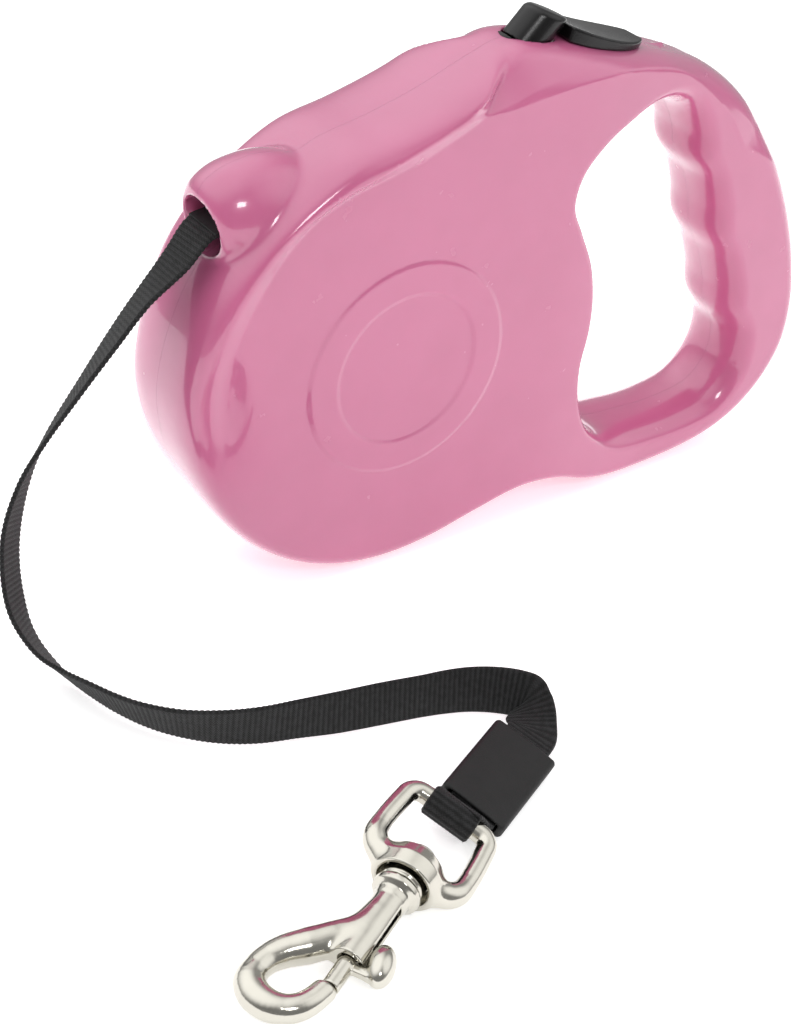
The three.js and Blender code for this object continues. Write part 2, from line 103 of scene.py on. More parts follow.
class Map:
    """Signed distance to a closed outline in a plane, tabulated and read back linearly."""

    def __init__(self, loop, low, high, step):
        self.low, self.step = np.array(low, float), step
        xs = np.arange(low[0], high[0], step)
        zs = np.arange(low[1], high[1], step)
        x, z = xs[:, None], zs[None, :]
        best = np.full((len(xs), len(zs)), 1e9)
        inside = np.zeros(best.shape, bool)
        for (ax, az), (bx, bz) in zip(loop, np.roll(loop, -1, 0)):
            ex, ez = bx - ax, bz - az
            t = np.clip(((x - ax) * ex + (z - az) * ez) / (ex * ex + ez * ez + 1e-12), 0, 1)
            best = np.minimum(best, (x - ax - t * ex) ** 2 + (z - az - t * ez) ** 2)
            if ez:
                rows = np.nonzero((zs < az) != (zs < bz))[0]
                side = ax + (zs[rows] - az) / ez * ex
                inside[:, rows] ^= x < side
        self.table = np.sqrt(best) * np.where(inside, -1, 1)

    def __call__(self, x, z):
        u = np.clip((x - self.low[0]) / self.step, 0, self.table.shape[0] - 1.001)
        v = np.clip((z - self.low[1]) / self.step, 0, self.table.shape[1] - 1.001)
        i, j = np.floor(u).astype(int), np.floor(v).astype(int)
        u, v = u - i, v - j
        t = self.table
        return ((t[i, j] * (1 - u) + t[i + 1, j] * u) * (1 - v)
                + (t[i, j + 1] * (1 - u) + t[i + 1, j + 1] * u) * v)


# ---- solids as fields: negative inside ----------------------------------------------------
def ramp(value, start, end):
    """Smooth step from 0 at start to 1 at end."""
    t = np.clip((value - start) / (end - start), 0, 1)
    return t * t * (3 - 2 * t)


def mix(a, b, t):
    return a + (b - a) * t


def join(a, b, radius):
    """Union with a fillet."""
    h = np.clip(0.5 + 0.5 * (b - a) / radius, 0, 1)
    return mix(b, a, h) - radius * h * (1 - h)


def meet(a, b, radius):
    """Intersection with a rounded edge."""
    return -join(-a, -b, radius)


def rounded(d, h, inset, depth, power=2.0):
    """Intersection of d < 0 and h < 0 whose edge is a superellipse inset by depth."""
    u = np.maximum(1 + d / inset, 0)
    v = np.maximum(1 + h / depth, 0)
    return ((u ** power + v ** power) ** (1 / power) - 1) * np.minimum(inset, depth)


def block(x, y, z, half, radius):
    """Box of half sizes `half` with round edges."""
    q = [np.abs(c) - s + radius for c, s in zip((x, y, z), half)]
    out = np.sqrt(sum(np.maximum(c, 0) ** 2 for c in q))
    return out + np.minimum(np.maximum(np.maximum(q[0], q[1]), q[2]), 0) - radius


def bar(x, y, z, path, radii):
    """Round bar bent in the plane z = 0, its radius changing along the way."""
    best, radius = 1e9, 0
    for (ax, ay), (bx, by), ra, rb in zip(path, path[1:], radii, radii[1:]):
        ex, ey = bx - ax, by - ay
        t = np.clip(((x - ax) * ex + (y - ay) * ey) / (ex * ex + ey * ey), 0, 1)
        d = (x - ax - t * ex) ** 2 + (y - ay - t * ey) ** 2
        radius = np.where(d < best, mix(ra, rb, t), radius)
        best = np.minimum(d, best)
    return np.sqrt(best + z * z) - radius


def turning(profile):
    """Piece of revolution from half a profile of (along, radius) corners; a field of (u, r)."""
    half = np.array(profile, float)
    loop = np.vstack((half, (half * (1, -1))[::-1]))
    low, high = loop.min(0) - 3, loop.max(0) + 3
    return Map(loop, low, high, 0.1)


def surface_nets(field, low, high, step):
    """Quads over field = 0: one point per mixed cell, then moved onto the surface."""
    low = np.array(low, float)
    axes = [np.arange(a, b + step, step) for a, b in zip(low, high)]
    value = field(*np.meshgrid(*axes, indexing="ij", sparse=True))
    inside = value < 0
    n = np.array(inside.shape) - 1
    corner = list(itertools.product((0, 1), repeat=3))

    def at(table, c):
        return table[c[0]:n[0] + c[0], c[1]:n[1] + c[1], c[2]:n[2] + c[2]]

    count = sum(at(inside, c).astype(np.int8) for c in corner)
    mixed = (count > 0) & (count < 8)
    index = np.full(mixed.shape, -1)
    index[mixed] = np.arange(mixed.sum())
    values = {c: at(value, c)[mixed] for c in corner}
    total = np.zeros((mixed.sum(), 3))
    hits = np.zeros(mixed.sum())
    for a, b in itertools.combinations(corner, 2):
        if sum(i != j for i, j in zip(a, b)) != 1:
            continue
        va, vb = values[a], values[b]
        cut = (va < 0) != (vb < 0)
        t = np.where(cut, va / np.where(cut, va - vb, 1), 0)
        total += cut[:, None] * (np.array(a) + t[:, None] * (np.array(b) - a))
        hits += cut
    points = low + step * (np.argwhere(mixed) + total / hits[:, None])
    quads = []
    for axis in range(3):
        u, v = (axis + 1) % 3, (axis + 2) % 3
        first, second = [slice(1, -1)] * 3, [slice(1, -1)] * 3
        first[axis], second[axis] = slice(0, -1), slice(1, None)
        start, end = inside[tuple(first)], inside[tuple(second)]
        cells = np.argwhere(start != end)
        outward = start[start != end]
        cells[:, u] += 1
        cells[:, v] += 1
        ring = []
        for du, dv in ((1, 1), (0, 1), (0, 0), (1, 0)):
            c = cells.copy()
            c[:, u] -= du
            c[:, v] -= dv
            ring.append(index[tuple(c.T)])
        ring = np.stack(ring, 1)
        quads.append(np.where(outward[:, None], ring, ring[:, ::-1]))
    quads = np.vstack(quads).tolist()
    for _ in range(3):
        f = field(*points.T)
        g = gradient(field, points, 0.04)
        move = -f[:, None] * g / np.maximum((g * g).sum(1), 1e-6)[:, None]
        size = np.linalg.norm(move, axis=1)[:, None]
        points += move * np.minimum(1, 0.4 * step / np.maximum(size, 1e-9))
    return points, quads


def gradient(field, p, eps):
    """Central differences of a field at the points."""
    cols = []
    for axis in range(3):
        d = np.zeros(3)
        d[axis] = eps
        cols.append((field(*(p + d).T) - field(*(p - d).T)) / (2 * eps))
    return np.stack(cols, 1)


def make_mesh(name, points, faces, body, material, replaces=(), place=(UPRIGHT, HUB), uv=None):
    """Object from millimetre points in a local frame, put in place and riding on its body."""
    turn, origin = place
    world = (np.asarray(points) @ np.asarray(turn).T + origin) * MM
    mesh = bpy.data.meshes.new(name)
    mesh.from_pydata(world, [], list(faces))
    if uv is not None:
        layer = mesh.uv_layers.new(name="along")
        corners = np.empty(len(mesh.loops), int)
        mesh.loops.foreach_get("vertex_index", corners)
        layer.data.foreach_set("uv", np.asarray(uv, float)[corners].ravel())
    mesh.update()
    mesh.shade_smooth()
    mesh.materials.append(material)
    obj = bpy.data.objects.new(name, mesh)
    bpy.context.scene.collection.objects.link(obj)
    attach(obj, body)
    if replaces:
        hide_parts(*replaces)
    return obj


def carve(name, field, low, high, step, body, material, replaces=(), place=(UPRIGHT, HUB)):
    """Object whose surface is field = 0, meshed between two corners of its local frame."""
    points, faces = surface_nets(field, low, high, step)
    return make_mesh(name, points, faces, body, material, replaces, place)


# ---- materials ----------------------------------------------------------------------------
class Nodes:
    """Short way to write a material's node tree."""

    def __init__(self, name):
        self.material = bpy.data.materials.new(name)
        self.material.use_nodes = True
        self.tree = self.material.node_tree
        self.shader = self.tree.nodes["Principled BSDF"]

    def add(self, kind, links=(), **values):
        node = self.tree.nodes.new(kind)
        for key, value in values.items():
            setattr(node, key, value)
        for socket, value in dict(links).items():
            self.put(node.inputs[socket], value)
        return node

    def put(self, socket, value):
        if isinstance(value, bpy.types.NodeSocket):
            self.tree.links.new(value, socket)
        else:
            socket.default_value = value

    def shade(self, **values):
        for key, value in values.items():
            self.put(self.shader.inputs[key.replace("_", " ")], value)

    def math(self, operation, a, b=0.0, c=0.0):
        return self.add("ShaderNodeMath", {0: a, 1: b, 2: c}, operation=operation).outputs[0]

    def noise(self, scale, detail=3.0):
        place = self.add("ShaderNodeTexCoord").outputs["Object"]
        return self.add("ShaderNodeTexNoise", {"Vector": place, "Scale": scale,
                                               "Detail": detail}).outputs["Fac"]

    def colours(self, factor, first, second, low=0.35, high=0.65):
        node = self.add("ShaderNodeValToRGB", {"Fac": factor})
        for element, position, colour in zip(node.color_ramp.elements, (low, high),
                                             (first, second)):
            element.position = position
            element.color = (*colour, 1)
        return node.outputs["Color"]

    def bump(self, height, strength, distance):
        node = self.add("ShaderNodeBump", {"Height": height, "Strength": strength,
                                           "Distance": distance})
        self.shade(Normal=node.outputs[0])

    def levels(self, factor, low, high):
        return self.add("ShaderNodeMapRange", {"Value": factor, "To Min": low,
                                               "To Max": high}).outputs[0]


def pink_plastic():
    m = Nodes("pink_plastic")
    m.shade(Base_Color=m.colours(m.noise(45), (0.545, 0.125, 0.262), (0.575, 0.135, 0.28)),
            Roughness=m.levels(m.noise(260), 0.20, 0.30), IOR=1.5,
            Coat_Weight=1.0, Coat_Roughness=0.06, Coat_IOR=1.5,
            Subsurface_Weight=0.12, Subsurface_Radius=(0.004, 0.0015, 0.002),
            Subsurface_Scale=1.0)
    m.bump(m.noise(260, 1.0), 0.012, 0.0001)
    return m.material


def black_plastic(name, rough_low, rough_high, colour, grain):
    """Moulded black plastic; a higher grain is a coarser mould."""
    m = Nodes(name)
    lighter = tuple(c * 1.25 for c in colour)
    m.shade(Base_Color=m.colours(m.noise(120), colour, lighter),
            Roughness=m.levels(m.noise(400), rough_low, rough_high), IOR=1.42)
    m.bump(m.noise(3500, 4), grain, 0.0002)
    return m.material


RIB_PITCH = 1.05      # millimetres between the tape's ribs


def webbing():
    """Black ribbed tape, with painted shade darkening the valleys between its ribs; U runs along
    it and V across it, both in millimetres.
    """
    m = Nodes("webbing")
    uv = m.add("ShaderNodeUVMap", uv_map="along").outputs[0]
    split = m.add("ShaderNodeSeparateXYZ", {0: uv})
    along, across = split.outputs[0], split.outputs[1]
    yarn = m.math("SINE", m.math("MULTIPLY", across, 2 * math.pi / 0.55))
    weft = m.math("SINE", m.math("MULTIPLY", along, 2 * math.pi / 0.5))
    # The rib term paints shade into the colour: darker in the valleys between the ribs, lighter
    # on their crests.
    rib = m.math("COSINE", m.math("MULTIPLY", along, 2 * math.pi / RIB_PITCH))
    weave = m.math("MULTIPLY", yarn, weft)
    shade = m.math("MULTIPLY_ADD", weave, 0.12, m.math("MULTIPLY_ADD", rib, 0.22, m.noise(900)))
    m.shade(Base_Color=m.colours(shade, (0.003, 0.003, 0.003), (0.019, 0.019, 0.02), 0.3, 0.8),
            Roughness=0.75, Sheen_Weight=0.08, Sheen_Roughness=0.4, IOR=1.4)
    m.bump(weave, 0.5, 0.00008)
    return m.material


def metal(name, colour, rough_low, rough_high, wave=0.0):
    """Bare or plated metal; wave is how uneven the casting under the plate is."""
    m = Nodes(name)
    darker = tuple(c * 0.93 for c in colour)
    m.shade(Base_Color=m.colours(m.noise(140), darker, colour), Metallic=1.0,
            Roughness=m.levels(m.noise(700), rough_low, rough_high))
    if wave:
        m.bump(m.noise(220, 1.5), wave, 0.0006)
    return m.material


def nylon():
    m = Nodes("white_nylon")
    m.shade(Base_Color=m.colours(m.noise(60), (0.66, 0.66, 0.63), (0.72, 0.72, 0.69)),
            Roughness=m.levels(m.noise(300), 0.42, 0.55))
    m.bump(m.noise(1500), 0.1, 0.0001)
    return m.material


PINK = pink_plastic()
BLACK = black_plastic("black_plastic", 0.2, 0.3, (0.005, 0.0047, 0.005), 0.1)
SLEEVE = black_plastic("sleeve_plastic", 0.5, 0.62, (0.008, 0.008, 0.008), 0.35)
WEBBING = webbing()
NICKEL = metal("nickel_plate", (0.57, 0.55, 0.49), 0.12, 0.19, 0.18)
STEEL = metal("spring_steel", (0.55, 0.55, 0.56), 0.25, 0.38)
NYLON = nylon()


# ---- tape ---------------------------------------------------------------------------------
TAPE_WIDTH = 10.0
TAPE_THICK = 1.0
YARN_PITCH = 0.9      # millimetres between the yarns across the tape
# Middle of the tape from the nozzle to the sleeve, and the way its width points there.
ROUTE = [
    ((-73.6, 0, 84.5), (0, 1, 0)),
    ((-76.9, 0, 83.6), (0, 1, 0)),
    ((-81.9, -0.3, 78.3), (0.02, 0.99, -0.11)),
    ((-89.3, -0.4, 71.5), (0.23, 0.94, -0.25)),
    ((-95.6, -0.7, 64.5), (0.3, 0.92, -0.26)),
    ((-101.4, -0.6, 57.2), (0.41, 0.88, -0.26)),
    ((-109.4, 0.5, 45.4), (0.5, 0.81, -0.31)),
    ((-114.1, 0.1, 37.8), (0.58, 0.72, -0.39)),
    ((-118.8, -2.8, 27.1), (0.64, 0.61, -0.46)),
    ((-120.4, -7.6, 16.3), (0.65, 0.67, -0.35)),
    ((-119.3, -12.3, 9.3), (0.52, 0.73, -0.45)),
    ((-116.4, -18.6, 5), (0.54, 0.37, -0.76)),
    ((-113.1, -29.1, 5), (0.44, 0.22, -0.87)),
    ((-109, -37.5, 5), (0.38, 0.19, -0.9)),
    ((-103.9, -43.8, 5.1), (0.27, 0.21, -0.94)),
    ((-97.8, -48.5, 5.2), (0.15, 0.15, -0.98)),
    ((-91, -51.7, 5.2), (0.06, 0.08, -0.99)),
    ((-83.2, -53.8, 5.2), (0, 0.01, -1)),
    ((-75.4, -55.9, 5.2), (-0.03, -0.09, -1)),
    ((-67.2, -57.8, 5.3), (-0.02, -0.13, -0.99)),
    ((-59.1, -59.8, 5.4), (0.02, -0.13, -0.99)),
    ((-53.8, -61.1, 5.4), (-0.01, -0.18, -0.98)),
    ((-49.1, -62.8, 5.4), (-0.04, -0.22, -0.97)),
    ((-44.7, -65.4, 5.4), (-0.1, -0.25, -0.96)),
    ((-41.6, -68.2, 5.4), (-0.3, -0.1, -0.93)),
    ((-40.3, -70.3, 5.3), (-0.48, 0.2, -0.85)),
    ((-41.2, -72.3, 4.9), (-0.62, 0.48, -0.6)),
    ((-43.2, -75.2, 4.6), (-0.7, 0.62, -0.1)),
    ((-45, -78.2, 4.4), (-0.58, 0.76, 0.27)),
    ((-47.3, -79.7, 4.4), (-0.43, 0.84, 0.33)),
    ((-49.6, -80.8, 4.4), (-0.415, 0.845, 0.34)),
]


def even(rows, path, step):
    """Rows taken again at equal steps of the path's length."""
    run = np.concatenate(([0], np.cumsum(np.linalg.norm(np.diff(path, axis=0), axis=1))))
    at = np.linspace(0, run[-1], int(run[-1] / step) + 1)
    return at, np.stack([np.interp(at, run, column) for column in rows.T], 1)


def strip(path, across, width, thick, step=0.17):
    """Ribbed tape: points, quads and (along, across) millimetres for each point."""
    run, centre = even(path, path, step)
    side = even(across, path, step)[1]
    tangent = np.gradient(centre, axis=0)
    tangent /= np.linalg.norm(tangent, axis=1)[:, None]
    side -= (side * tangent).sum(1)[:, None] * tangent
    side /= np.linalg.norm(side, axis=1)[:, None]
    up = np.cross(tangent, side)
    half = width / 2
    spots = np.concatenate((np.linspace(-1, 1, 25), np.linspace(1, -1, 25)[1:-1]))
    face = np.concatenate((np.ones(25), -np.ones(23)))
    edge = np.clip((1 - np.abs(spots)) / 0.08, 0, 1) ** 0.5
    rib = 0.5 + 0.5 * np.cos(2 * np.pi * run / RIB_PITCH)
    ends = np.clip(np.minimum(run, run[-1] - run) / 0.4, 0, 1)
    points, uv = [], []
    for spot, sign, fall in zip(spots, face, edge):
        cord = 0.06 * math.cos(2 * math.pi * spot * half / YARN_PITCH)
        rise = sign * fall * (thick / 2 - 0.16 + (0.16 * rib ** 0.7 + cord * 0.5) * ends)
        points.append(centre + side * (spot * half) + up * rise[:, None])
        uv.append(np.stack((run, np.full(len(run), spot * half)), 1))
    rows, count = len(spots), len(run)
    points, uv = np.vstack(points), np.vstack(uv)
    i = np.arange(rows)[:, None]
    k = np.arange(count - 1)[None, :]
    nxt = (i + 1) % rows
    quads = np.stack((i * count + k, i * count + k + 1, nxt * count + k + 1, nxt * count + k), -1)
    caps = [[r * count for r in range(rows)], [r * count + count - 1 for r in range(rows)][::-1]]
    return points, quads.reshape(-1, 4).tolist() + caps, uv


def add_tape():
    path = spline([p for p, _ in ROUTE])
    across = spline([d for _, d in ROUTE])
    points, faces, uv = strip(path, across, TAPE_WIDTH, TAPE_THICK)
    return make_mesh("tape", points, faces, "case", WEBBING, ("free_tape",), WORLD, uv), path


# ---- the tape's end: frames of the sleeve and the snap ------------------------------------
def turned_frame(origin, turn, dip, roll):
    """Local frame turned about Z, then dipped and rolled, in degrees."""
    r = (Matrix.Rotation(math.radians(turn), 3, "Z") @ Matrix.Rotation(math.radians(dip), 3, "Y")
         @ Matrix.Rotation(math.radians(roll), 3, "X"))
    return np.array(r), np.array(origin, float)


SLEEVE_AT = turned_frame((-58.2, -85.0, 4.4), 206.2, 0, -20)
SNAP_ROLLED = turned_frame((-73.8, -91, 7.2), 207.8, 4.4, -20)
SNAP_FLAT = turned_frame((-73.8, -91, 7.2), 207.8, 4.4, 0)
BAR_AT = 0.9          # middle of the eye's bar in the snap's frame


def add_sleeve():
    def field(x, y, z):
        crown = 0.25 * (1 - (y / 7.2) ** 2)
        body = block(x - 1, y, z / (1 + crown / 1.8), (11.4, 7.1, 1.75), 0.95)
        mouth = block(x - 12.4, y, z, (3.4, 5.6, 1.2), 0.3)
        back = block(x + 10.4, y, z, (2.6, 5.3, 0.75), 0.2)
        return meet(meet(body, -mouth, 0.3), -back, 0.3)
    return carve("sleeve", field, (-12, -8.5, -3), (14, 8.5, 3.2), 0.25, "case", SLEEVE,
                 ("crimp_sleeve",), SLEEVE_AT)


def add_loop():
    """Webbing out of the sleeve's mouth, around the eye's bar and back in."""
    turn, origin = SNAP_ROLLED
    mouth = (SLEEVE_AT[0] @ (10.4, 0, 0) + SLEEVE_AT[1] - origin) @ turn
    reach = 2.1 + TAPE_THICK / 2
    bend = [(BAR_AT + reach * math.sin(a), 0, reach * math.cos(a))
            for a in np.linspace(-0.25, math.pi + 0.25, 13)]
    half = np.array((0, 0, 0.56))
    lead = np.array((2.2, 0, 0))
    path = spline([mouth + half, mouth + half + lead, *bend, mouth - half + lead, mouth - half])
    across = np.tile((0.0, 1.0, 0.0), (len(path), 1))
    points, faces, uv = strip(path, across, TAPE_WIDTH, TAPE_THICK)
    return make_mesh("loop", points, faces, "case", WEBBING, ("end_loop",), SNAP_ROLLED, uv)


# ---- bolt snap ----------------------------------------------------------------------------
def add_eye():
    side = [(0, 5.2), (0.3, 7.2), (1.6, 8.5), (4, 8.9), (11.8, 9.3), (14.2, 8.8), (16, 7.2),
            (16.8, 4.6), (16.6, 2)]
    corners = [(BAR_AT + u, -w) for u, w in side] + [(BAR_AT + u, w) for u, w in side[::-1]]
    wire = spline(corners, closed=True, per=5)
    ring = np.vstack((wire, wire[:1]))
    radii = 1.9 + 0.5 * ramp(ring[:, 0], 11, 17)
    cup = turning([(13.6, 0), (13.6, 3.2), (15.0, 5.3), (17.6, 6.3), (20.6, 6.0), (20.6, 0)])
    skirt = turning([(17.2, 0), (17.2, 4.6), (18, 4.9), (23, 5.1), (23, 0)])
    bore = turning([(11, 0), (11, 2.35), (18, 2.35), (18, 0)])

    def field(x, y, z):
        r = np.sqrt(y * y + z * z)
        solid = join(bar(x, y, z, ring, radii), cup(x, r), 2.2)
        return meet(meet(solid, -skirt(x, r), 0.5), -bore(x, r), 0.3)
    return carve("swivel_eye", field, (-1.6, -12, -7), (22, 12, 7), 0.25, "eye_body", NICKEL,
                 ("snap_eye",), SNAP_ROLLED)


HOOK = [(29.5, -0.8), (33.2, -1.9), (36.9, -4.5), (40.4, -7.5), (43.4, -10.3), (46.2, -11.9),
        (49, -12.5), (51.7, -12.1), (53.6, -10.2), (54.4, -7.0), (53.7, -4.2), (52.2, -2.4),
        (50.2, -1.3), (47.4, -0.5)]
HOOK_RADII = [2.2, 2.7, 3.1, 3.2, 2.9, 2.6, 2.55, 2.85, 2.9, 2.75, 2.5, 2.4, 2.3, 2.2]


def add_snap_body():
    path = spline(HOOK, per=4)
    radii = np.interp(np.arange(len(path)) / 4, range(len(HOOK)), HOOK_RADII)
    barrel = turning([(24.2, 0), (24.2, 3.15), (40.2, 3.15), (40.2, 0)])
    collar = turning([(18.3, 0), (18.3, 4.1), (21.0, 4.2), (21.3, 3.9), (21.9, 3.9),
                      (22.2, 4.6), (23.3, 4.5), (24.1, 3.4), (25.2, 3.15), (25.2, 0)])
    head = turning([(12.5, 0), (12.5, 2.6), (12.9, 3.0), (13.3, 3.0), (13.3, 2.0),
                    (18.6, 2.0), (18.6, 0)])
    bore = turning([(22, 0), (22, 1.95), (42.5, 1.95), (42.5, 0)])

    def field(x, y, z):
        r = np.sqrt(y * y + z * z)
        gap = block(x - 44.0, y + 0.4, z, (2.6, 3.0, 5), 0.3)
        hook = meet(bar(x, y, z, path, radii), -gap, 0.6)
        solid = join(join(barrel(x, r), hook, 1.6), join(collar(x, r), head(x, r), 0.3), 0.5)
        slot = block(x - 34.4, y - 3, z, (8.4, 3.2, 1.15), 0.2)
        return meet(meet(solid, -bore(x, r), 0.25), -slot, 0.3)
    return carve("snap_hook", field, (12, -16.6, -4.6), (58.6, 5.6, 4.6), 0.27, "hook_body",
                 NICKEL, ("snap_body",), SNAP_FLAT)


def add_snap_bolt():
    rod = turning([(34, 0), (34, 1.65), (46.3, 1.65), (46.3, 0)])
    tilt = math.radians(14)

    def field(x, y, z):
        r = np.sqrt(y * y + z * z)
        stalk = block(x - 41.0, y - 2.2, z, (0.85, 2.4, 0.8), 0.3)
        u = (x - 38.2) * math.cos(tilt) + (y - 5.4) * math.sin(tilt)
        w = (y - 5.4) * math.cos(tilt) - (x - 38.2) * math.sin(tilt)
        knob = (np.sqrt((u / 4.2) ** 2 + (w / 2.5) ** 2 + (z / 2.9) ** 2) - 1) * 2.5
        return join(join(rod(x, r), stalk, 0.4), knob, 0.8)
    return carve("snap_latch", field, (32.6, -2.6, -3.6), (48, 9, 3.6), 0.22, "bolt_body", NICKEL,
                 ("snap_bolt",), SNAP_FLAT)


# ---- case ---------------------------------------------------------------------------------
OUTLINE = [(26, 63), (16, 59.8), (6, 55.6), (-6, 51.8), (-18, 48.7), (-27, 43.6), (-36, 36.2),
           (-44, 26), (-49, 14.5), (-51.2, 3), (-50.3, -7), (-47, -17), (-41, -27.5),
           (-33, -36.5), (-23, -43.5), (-12, -47.6), (0, -49), (12, -47.8), (25, -43.8),
           (37, -41.5), (47, -42.7), (58, -46.5), (72, -48.6), (86, -49), (97, -46.9),
           (107, -42), (114.5, -34.5), (119, -25), (119.6, -14), (117.4, -3), (113.5, 8),
           (108, 19.5), (101, 31), (92, 42.5), (80, 50.6), (67, 55.2), (52, 58.4), (38, 61.6)]
HOLE = [(61, 46.5), (52, 44), (45.8, 39.8), (41.6, 34.5), (40.6, 28), (43.6, 21.5), (47.8, 13),
        (50, 4), (50.3, -4), (49.2, -13), (50.4, -22), (54.5, -30.5), (62, -35.5), (74, -36.8),
        (88, -36.6), (97, -34.2), (101.4, -28), (101.2, -20), (97, -13), (95.2, -6),
        (91.6, 2.5), (87.6, 9), (85.8, 16), (82.6, 23.5), (78.6, 29), (76.4, 36), (71, 43.5)]
CREST = [(-49.5, -2), (-47.6, 8), (-45, 17), (-41.5, 26), (-36, 33.6), (-29, 39), (-20.7, 43.4),
         (-12.4, 46), (-4.6, 49), (4.6, 52.9), (11, 56), (15.5, 58.8), (19, 61), (23, 66)]
BAND_FOOT = [(-46, -2), (-43.8, 8), (-41, 16), (-37, 24), (-32, 31.5), (-26, 37.5),
             (-18.5, 41.6), (-9, 44.3), (0, 46.8), (5, 49), (9.5, 51), (13.6, 53.4),
             (17.5, 57), (22, 61), (27, 67)]
CREASE = [(13.6, 53.2), (21.5, 53.5), (30.3, 54.8), (39.2, 56.1), (48.5, 56.6), (58.3, 55.7),
          (66.5, 53.3), (76.7, 45.8), (83.2, 40.0), (90, 31)]
PANEL_Y = 13.2        # half thickness over the flat face
LIP_Y = 15.3          # and over the raised rim
WALL = 2.6
BASE_Z = -48.8        # the flat the case stands on
POST_R = 3.4          # screw posts inside the case, and the pockets over the screws' heads
POCKET_R = 2.6
SCREWS = [(-5, 46.8, 11.3), (36, 46, 11.3), (88, 37, 8.3), (108, -32, 8.3), (50, -35.5, 8.3)]
SEAM = 0.02           # half the gap between the two shells
MAP_AREA = ((-66, -58), (128, 76), 0.35)


def region(edge, around):
    """Closed outline: a drawn edge and then the corners that close it."""
    return np.vstack((spline(edge), np.array(around, float)))


OUTER = Map(spline(OUTLINE, closed=True), *MAP_AREA)
INNER = Map(spline(HOLE, closed=True), *MAP_AREA)
BEHIND_CREST = Map(region(CREST, [(160, 66), (160, -80), (-49.5, -80)]), *MAP_AREA)
BEHIND_FOOT = Map(region(BAND_FOOT, [(160, 67), (160, -80), (-46, -80)]), *MAP_AREA)
PANEL = Map(region(CREASE, [(128, 12), (160, -80), (-80, -80), (-80, 50)]), *MAP_AREA)


def face_height(x, z, outer):
    """Half thickness of the case over the X-Z plane, before its edges are rounded."""
    grip = ramp(x, 38, 84)
    panel = PANEL_Y - 2.6 * grip
    off_panel = np.maximum(PANEL(x, z), 0)
    depth_in = np.maximum(-outer, 0)
    slope = off_panel / (off_panel + depth_in + 0.4)
    spine = mix(7.2, 8.6, ramp(x, 45, 75))
    top_zone = ramp(x, 6, 12) * (1 - ramp(x, 92, 112)) * ramp(z, 0, 24)
    band = 2.3 * (ramp(x, 10, 30) - ramp(x, 46, 68)) + 0.35 * ramp(x, 44, 70)
    step = 0.48 * np.minimum(off_panel, band) * top_zone
    shield = mix(panel + step, spine, slope * top_zone)
    start = np.maximum(-BEHIND_CREST(x, z), 0)
    end = np.maximum(BEHIND_FOOT(x, z), 0)
    across = start / (start + end + 1e-3)
    lip = (LIP_Y - PANEL_Y) * ramp(z + 0.3 * x, -12, 22)
    rim = PANEL_Y + lip
    height = mix(shield, mix(rim, shield, across), 1 - ramp(x + z, 66, 92))
    ring = ramp(np.hypot(x, z), 16.7, 17.3) * (1 - ramp(np.hypot(x, z), 23.7, 24.3))
    dish = np.exp(-(((x + 42.2) / 3.2) ** 2 + ((z - 3.5) / 8.5) ** 2) ** 1.5)
    return height + 0.35 * ring - 0.7 * dish


def nozzle_axes(x, z):
    """Distance along the nozzle from its mouth, and across it."""
    rise = math.radians(10)
    dx, dz = x + 42.6, z - 35.3
    return dx * math.cos(rise) + dz * math.sin(rise), dz * math.cos(rise) - dx * math.sin(rise)


def bulb(x, y, z):
    """The swelling of the case around the nozzle."""
    u, w = nozzle_axes(x, z)
    r = np.sqrt(y * y + w * w)
    back = np.sqrt(np.maximum(1 - (np.maximum(u - 10.5, 0) / 16.5) ** 2, 0))
    front = 1 - 0.30 * np.clip((10.5 - u) / 10.5, 0, 1.3) ** 2.6
    return meet(r - 10.8 * np.minimum(back, front), -u, 2.4)


def button_axes(x, z):
    """Distance along the brake button's axis from its seat, and across it."""
    lean = math.radians(43.5)
    dx, dz = x - 32.4, z - 62.3
    return dx * math.sin(lean) + dz * math.cos(lean), dx * math.cos(lean) - dz * math.sin(lean)


def case_edges(x, y, z, shrink=0.0):
    """The case without its nozzle, or the same shape drawn in by `shrink`."""
    outer = OUTER(x, z)
    level = np.abs(y) - face_height(x, z, outer) + shrink
    left = 1 - ramp(x, 8, 26)
    grip = ramp(x, 62, 92)
    inset = mix(mix(2.6, 4.6, left), 5.2, grip)
    depth = mix(mix(5.0, 13.5, left), 10.5, grip)
    rim = rounded(outer + shrink, level, inset, depth, 2.3 + 1.0 * left)
    soft = ramp(x, 50, 72)
    hole = rounded(shrink - INNER(x, z), level, mix(1.3, 5.4, soft), mix(1.3, 10.0, soft), 2.2)
    return np.maximum(rim, hole)


def case_room(x, y, z):
    """Hollow inside the shells, the tape's way out and the openings for button and lock."""
    room = case_edges(x, y, z, WALL)
    u, w = nozzle_axes(x, z)
    throat = np.sqrt((y / 1.12) ** 2 + w * w) - mix(6.0, 4.6, ramp(u, 0, 6))
    throat = np.maximum(throat, u - 7)
    channel = block(u - 16, y, w, (15, 6.1, 3.1), 0.5)
    a, b = button_axes(x, z)
    cap = np.maximum(np.hypot(b, y) - 4.72, np.abs(a - 1) - 9)
    slot = block(x - 50.3, y, z - 57, (5.1, 2.3, 7), 0.2)
    return np.minimum(np.minimum(np.minimum(room, throat), channel), np.minimum(cap, slot))


def inside(points, starts, ends):
    """Whether each point is inside the closed outlines made by the edges."""
    (ax, az), (bx, bz) = starts.T, ends.T
    inner = []
    for x, z in points:
        crossed = (az > z) != (bz > z)
        at = ax + (z - az) / np.where(crossed, bz - az, 1) * (bx - ax)
        inner.append((crossed & (x < at)).sum() % 2 == 1)
    return inner


